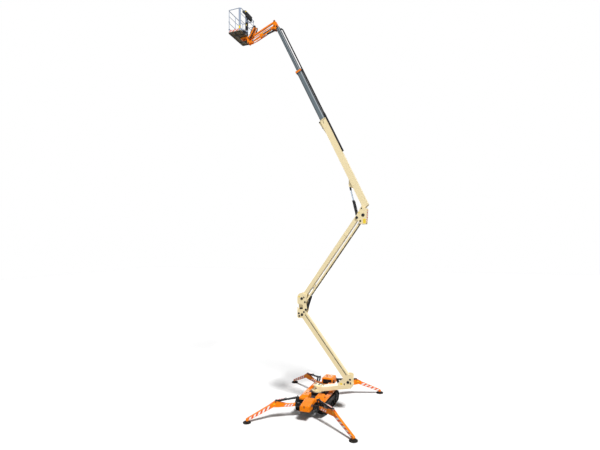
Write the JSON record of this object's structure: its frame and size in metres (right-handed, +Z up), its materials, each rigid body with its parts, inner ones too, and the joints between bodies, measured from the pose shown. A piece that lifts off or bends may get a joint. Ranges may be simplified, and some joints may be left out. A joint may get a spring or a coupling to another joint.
{
  "type": "articulating boom lift",
  "caption": "Tracked articulating boom lift with outriggers, twin folding risers, a telescopic boom, a jib and a work platform.",
  "frame": {"origin": "on the ground under the slew axis, level with the undersides of the outrigger pads", "axes": "+Z up; +Y along the chassis from the front box to the engine; +X to the right, so the platform is towards -X"},
  "size_m": [6.5195, 5.4808, 18.5792],
  "materials": {
    "cream_paint": "satin",
    "orange_paint": "satin",
    "grey_blue_paint": "satin",
    "black_steel": "satin",
    "slate_deck": "matte",
    "chrome_rod": "polished",
    "cast_block": "matte",
    "rail_aluminium": "satin",
    "floor_brown": "matte",
    "track_rubber": "matte",
    "black_plastic": "matte"
  },
  "bodies": {
    "chassis": {"chassis_frame": "black_steel", "track_left": "track_rubber", "track_right": "track_rubber", "track_frame_left": "black_steel", "track_frame_right": "black_steel", "hood_left": "orange_paint", "hood_right": "orange_paint", "deck": "slate_deck", "front_box": "orange_paint", "engine_cover": "orange_paint", "engine_block": "cast_block", "slew_bearing": "black_steel"},
    "turret": {"turret": "cream_paint"},
    "riser_1": {"riser1_beam": "cream_paint"},
    "riser_1_link": {"riser1_link": "cream_paint"},
    "middle_knuckle": {"mid_knuckle": "cream_paint"},
    "riser_2": {"riser2_beam": "cream_paint"},
    "riser_2_link": {"riser2_link": "cream_paint"},
    "riser_cylinder_barrel": {"riser_cylinder": "black_steel"},
    "riser_cylinder_rod": {"riser_rod": "chrome_rod"},
    "top_knuckle": {"upper_knuckle": "cream_paint"},
    "boom": {"boom_base": "cream_paint", "carrier_tray": "black_plastic"},
    "boom_cylinder_barrel": {"boom_cylinder": "black_steel"},
    "boom_cylinder_rod": {"boom_rod": "chrome_rod"},
    "section_2": {"boom_section_2": "grey_blue_paint"},
    "section_3": {"boom_section_3": "grey_blue_paint", "cable_carrier": "black_plastic"},
    "head_bracket": {"boom_head": "orange_paint"},
    "jib": {"jib_beam": "orange_paint"},
    "jib_tie": {"jib_link": "orange_paint"},
    "jib_cylinder_barrel": {"jib_cylinder": "black_steel"},
    "jib_cylinder_rod": {"jib_rod": "chrome_rod"},
    "support": {"platform_support": "orange_paint", "rotator": "black_steel"},
    "basket": {"basket_floor": "floor_brown", "basket_frame": "rail_aluminium", "control_console": "black_plastic"},
    "gate": {"basket_gate": "rail_aluminium"},
    "front_left_yoke": {"outrigger_yoke_front_left": "black_steel"},
    "front_left_leg": {"outrigger_leg_front_left": "orange_paint", "outrigger_pad_front_left": "black_plastic"},
    "front_left_leg_cylinder_barrel": {"outrigger_front_left_cylinder": "black_steel"},
    "front_left_leg_cylinder_rod": {"outrigger_front_left_rod": "chrome_rod"},
    "front_right_yoke": {"outrigger_yoke_front_right": "black_steel"},
    "front_right_leg": {"outrigger_leg_front_right": "orange_paint", "outrigger_pad_front_right": "black_plastic"},
    "front_right_leg_cylinder_barrel": {"outrigger_front_right_cylinder": "black_steel"},
    "front_right_leg_cylinder_rod": {"outrigger_front_right_rod": "chrome_rod"},
    "rear_left_yoke": {"outrigger_yoke_rear_left": "black_steel"},
    "rear_left_leg": {"outrigger_leg_rear_left": "orange_paint", "outrigger_pad_rear_left": "black_plastic"},
    "rear_left_leg_cylinder_barrel": {"outrigger_rear_left_cylinder": "black_steel"},
    "rear_left_leg_cylinder_rod": {"outrigger_rear_left_rod": "chrome_rod"},
    "rear_right_yoke": {"outrigger_yoke_rear_right": "black_steel"},
    "rear_right_leg": {"outrigger_leg_rear_right": "orange_paint", "outrigger_pad_rear_right": "black_plastic"},
    "rear_right_leg_cylinder_barrel": {"outrigger_rear_right_cylinder": "black_steel"},
    "rear_right_leg_cylinder_rod": {"outrigger_rear_right_rod": "chrome_rod"}
  },
  "joints": [
    {"name": "turret_slew", "type": "hinge", "parent": "chassis", "child": "turret", "pos_m": [0, 0, 0.745], "axis": [0, 0, 1], "range_deg": [-270, 90]},
    {"name": "riser_raise", "type": "hinge", "parent": "turret", "child": "riser_1", "pos_m": [1.406, 0, 1.3], "axis": [0, 1, 0], "range_deg": [-50, 14]},
    {"name": "riser_1_link_swing", "type": "hinge", "parent": "turret", "child": "riser_1_link", "pos_m": [1.501, 0, 1.423], "axis": [0, 1, 0], "range_deg": [-50, 14]},
    {"name": "middle_knuckle_level", "type": "hinge", "parent": "riser_1", "child": "middle_knuckle", "pos_m": [-0.67026, 0, 4.05529], "axis": [0, 1, 0], "range_deg": [-14, 50]},
    {"name": "riser_2_raise", "type": "hinge", "parent": "middle_knuckle", "child": "riser_2", "pos_m": [-0.67826, 0, 4.76929], "axis": [0, -1, 0], "range_deg": [-50, 14]},
    {"name": "riser_2_link_swing", "type": "hinge", "parent": "middle_knuckle", "child": "riser_2_link", "pos_m": [-0.52326, 0, 4.61929], "axis": [0, -1, 0], "range_deg": [-50, 14]},
    {"name": "top_knuckle_level", "type": "hinge", "parent": "riser_2", "child": "top_knuckle", "pos_m": [1.89555, 0, 8.33797], "axis": [0, -1, 0], "range_deg": [-14, 50]},
    {"name": "riser_cylinder_turn", "type": "hinge", "parent": "middle_knuckle", "child": "riser_cylinder_barrel", "pos_m": [-0.48526, 0, 4.28529], "axis": [0, -1, 0], "range_deg": [-34.91, 9.78]},
    {"name": "riser_cylinder_stroke", "type": "slide", "parent": "riser_cylinder_barrel", "child": "riser_cylinder_rod", "axis": [0.334, 0, 0.9426], "range_m": [-0.363, 0.102]},
    {"name": "boom_lift", "type": "hinge", "parent": "top_knuckle", "child": "boom", "pos_m": [2.17005, 0, 8.43797], "axis": [0, 1, 0], "range_deg": [-65, 12]},
    {"name": "boom_cylinder_turn", "type": "hinge", "parent": "top_knuckle", "child": "boom_cylinder_barrel", "pos_m": [1.89555, 0, 8.33797], "axis": [0, 1, 0], "range_deg": [-69.55, 12.85]},
    {"name": "boom_cylinder_stroke", "type": "slide", "parent": "boom_cylinder_barrel", "child": "boom_cylinder_rod", "axis": [-0.2209, 0, 0.9753], "range_m": [-0.301, 0.056]},
    {"name": "telescope", "type": "slide", "parent": "boom", "child": "section_2", "axis": [-0.4274, 0, 0.9041], "range_m": [-2.3, 1.1]},
    {"name": "telescope_top", "type": "slide", "parent": "section_2", "child": "section_3", "axis": [-0.4274, 0, 0.9041], "range_m": [-2.3, 1.1]},
    {"name": "head_bracket_level", "type": "hinge", "parent": "section_3", "child": "head_bracket", "pos_m": [-1.83765, 0, 17.52705], "axis": [0, 1, 0], "range_deg": [-12, 65]},
    {"name": "jib_raise", "type": "hinge", "parent": "head_bracket", "child": "jib", "pos_m": [-1.96765, 0, 17.56205], "axis": [0, 1, 0], "range_deg": [-43, 82]},
    {"name": "jib_tie_swing", "type": "hinge", "parent": "head_bracket", "child": "jib_tie", "pos_m": [-1.96765, 0, 17.81205], "axis": [0, 1, 0], "range_deg": [-43, 82]},
    {"name": "support_level", "type": "hinge", "parent": "jib", "child": "support", "pos_m": [-3.34915, 0, 17.00389], "axis": [0, 1, 0], "range_deg": [-82, 43]},
    {"name": "jib_cylinder_turn", "type": "hinge", "parent": "head_bracket", "child": "jib_cylinder_barrel", "pos_m": [-1.94765, 0, 17.39905], "axis": [0, 1, 0], "range_deg": [-40.86, 77.91]},
    {"name": "jib_cylinder_stroke", "type": "slide", "parent": "jib_cylinder_barrel", "child": "jib_cylinder_rod", "axis": [-0.9712, 0, -0.2384], "range_m": [-0.1084, 0.2063]},
    {"name": "platform_rotate", "type": "hinge", "parent": "support", "child": "basket", "pos_m": [-3.52115, 0, 17.4], "axis": [0, 0, 1], "range_deg": [-35, 35]},
    {"name": "gate_swing", "type": "hinge", "parent": "basket", "child": "gate", "pos_m": [-4.10315, -0.62, 17.83389], "axis": [0, 0, 1], "range_deg": [-90, 0]},
    {"name": "front_left_swivel", "type": "hinge", "parent": "chassis", "child": "front_left_yoke", "pos_m": [-0.42, -1.23, 0.52], "axis": [0, 0, -1], "range_deg": [-50, 0]},
    {"name": "front_left_lower", "type": "hinge", "parent": "front_left_yoke", "child": "front_left_leg", "pos_m": [-0.53552, -1.30909, 0.545], "axis": [0.565, -0.8251, 0], "range_deg": [-85, 0]},
    {"name": "front_left_leg_cylinder_turn", "type": "hinge", "parent": "front_left_yoke", "child": "front_left_leg_cylinder_barrel", "pos_m": [-0.44475, -1.24695, 0.84], "axis": [0.565, -0.8251, 0], "range_deg": [-97.19, 0.01]},
    {"name": "front_left_leg_cylinder_stroke", "type": "slide", "parent": "front_left_leg_cylinder_barrel", "child": "front_left_leg_cylinder_rod", "axis": [-0.8211, -0.5622, -0.0985], "range_m": [-0.3958, 0.0005]},
    {"name": "front_right_swivel", "type": "hinge", "parent": "chassis", "child": "front_right_yoke", "pos_m": [0.42, -1.23, 0.52], "axis": [0, 0, 1], "range_deg": [-50, 0]},
    {"name": "front_right_lower", "type": "hinge", "parent": "front_right_yoke", "child": "front_right_leg", "pos_m": [0.53552, -1.30909, 0.545], "axis": [0.565, 0.8251, 0], "range_deg": [-85, 0]},
    {"name": "front_right_leg_cylinder_turn", "type": "hinge", "parent": "front_right_yoke", "child": "front_right_leg_cylinder_barrel", "pos_m": [0.44475, -1.24695, 0.84], "axis": [0.565, 0.8251, 0], "range_deg": [-97.19, 0.01]},
    {"name": "front_right_leg_cylinder_stroke", "type": "slide", "parent": "front_right_leg_cylinder_barrel", "child": "front_right_leg_cylinder_rod", "axis": [0.8211, -0.5622, -0.0985], "range_m": [-0.3958, 0.0005]},
    {"name": "rear_left_swivel", "type": "hinge", "parent": "chassis", "child": "rear_left_yoke", "pos_m": [-0.42, 1.47, 0.52], "axis": [0, 0, 1], "range_deg": [-50, 0]},
    {"name": "rear_left_lower", "type": "hinge", "parent": "rear_left_yoke", "child": "rear_left_leg", "pos_m": [-0.53552, 1.5491, 0.545], "axis": [-0.565, -0.8251, 0], "range_deg": [-85, 0]},
    {"name": "rear_left_leg_cylinder_turn", "type": "hinge", "parent": "rear_left_yoke", "child": "rear_left_leg_cylinder_barrel", "pos_m": [-0.44475, 1.48695, 0.84], "axis": [-0.565, -0.8251, 0], "range_deg": [-97.19, 0.01]},
    {"name": "rear_left_leg_cylinder_stroke", "type": "slide", "parent": "rear_left_leg_cylinder_barrel", "child": "rear_left_leg_cylinder_rod", "axis": [-0.8211, 0.5622, -0.0985], "range_m": [-0.3958, 0.0005]},
    {"name": "rear_right_swivel", "type": "hinge", "parent": "chassis", "child": "rear_right_yoke", "pos_m": [0.42, 1.47, 0.52], "axis": [0, 0, -1], "range_deg": [-50, 0]},
    {"name": "rear_right_lower", "type": "hinge", "parent": "rear_right_yoke", "child": "rear_right_leg", "pos_m": [0.53552, 1.5491, 0.545], "axis": [-0.565, 0.8251, 0], "range_deg": [-85, 0]},
    {"name": "rear_right_leg_cylinder_turn", "type": "hinge", "parent": "rear_right_yoke", "child": "rear_right_leg_cylinder_barrel", "pos_m": [0.44475, 1.48695, 0.84], "axis": [-0.565, 0.8251, 0], "range_deg": [-97.19, 0.01]},
    {"name": "rear_right_leg_cylinder_stroke", "type": "slide", "parent": "rear_right_leg_cylinder_barrel", "child": "rear_right_leg_cylinder_rod", "axis": [0.8211, 0.5622, -0.0985], "range_m": [-0.3958, 0.0005]}
  ],
  "couplings": [
    {"joint": "riser_1_link_swing", "follows": "riser_raise", "ratio": 1},
    {"joint": "middle_knuckle_level", "follows": "riser_raise", "ratio": -1},
    {"joint": "riser_2_raise", "follows": "riser_raise", "ratio": 1},
    {"joint": "riser_2_link_swing", "follows": "riser_raise", "ratio": 1},
    {"joint": "top_knuckle_level", "follows": "riser_raise", "ratio": -1},
    {"joint": "riser_cylinder_turn", "follows": "riser_raise", "ratio": 0.698},
    {"joint": "riser_cylinder_stroke", "follows": "riser_raise", "m_per_rad": 0.41544},
    {"joint": "boom_cylinder_turn", "follows": "boom_lift", "ratio": 1.0699},
    {"joint": "boom_cylinder_stroke", "follows": "boom_lift", "m_per_rad": 0.26484},
    {"joint": "telescope_top", "follows": "telescope", "ratio": 1},
    {"joint": "head_bracket_level", "follows": "boom_lift", "ratio": -1},
    {"joint": "jib_tie_swing", "follows": "jib_raise", "ratio": 1},
    {"joint": "support_level", "follows": "jib_raise", "ratio": -1},
    {"joint": "jib_cylinder_turn", "follows": "jib_raise", "ratio": 0.95},
    {"joint": "jib_cylinder_stroke", "follows": "jib_raise", "m_per_rad": 0.14377},
    {"joint": "front_left_leg_cylinder_turn", "follows": "front_left_lower", "ratio": 1.1433},
    {"joint": "front_left_leg_cylinder_stroke", "follows": "front_left_lower", "m_per_rad": 0.26645},
    {"joint": "front_right_leg_cylinder_turn", "follows": "front_right_lower", "ratio": 1.1433},
    {"joint": "front_right_leg_cylinder_stroke", "follows": "front_right_lower", "m_per_rad": 0.26645},
    {"joint": "rear_left_leg_cylinder_turn", "follows": "rear_left_lower", "ratio": 1.1433},
    {"joint": "rear_left_leg_cylinder_stroke", "follows": "rear_left_lower", "m_per_rad": 0.26645},
    {"joint": "rear_right_leg_cylinder_turn", "follows": "rear_right_lower", "ratio": 1.1433},
    {"joint": "rear_right_leg_cylinder_stroke", "follows": "rear_right_lower", "m_per_rad": 0.26645}
  ]
}
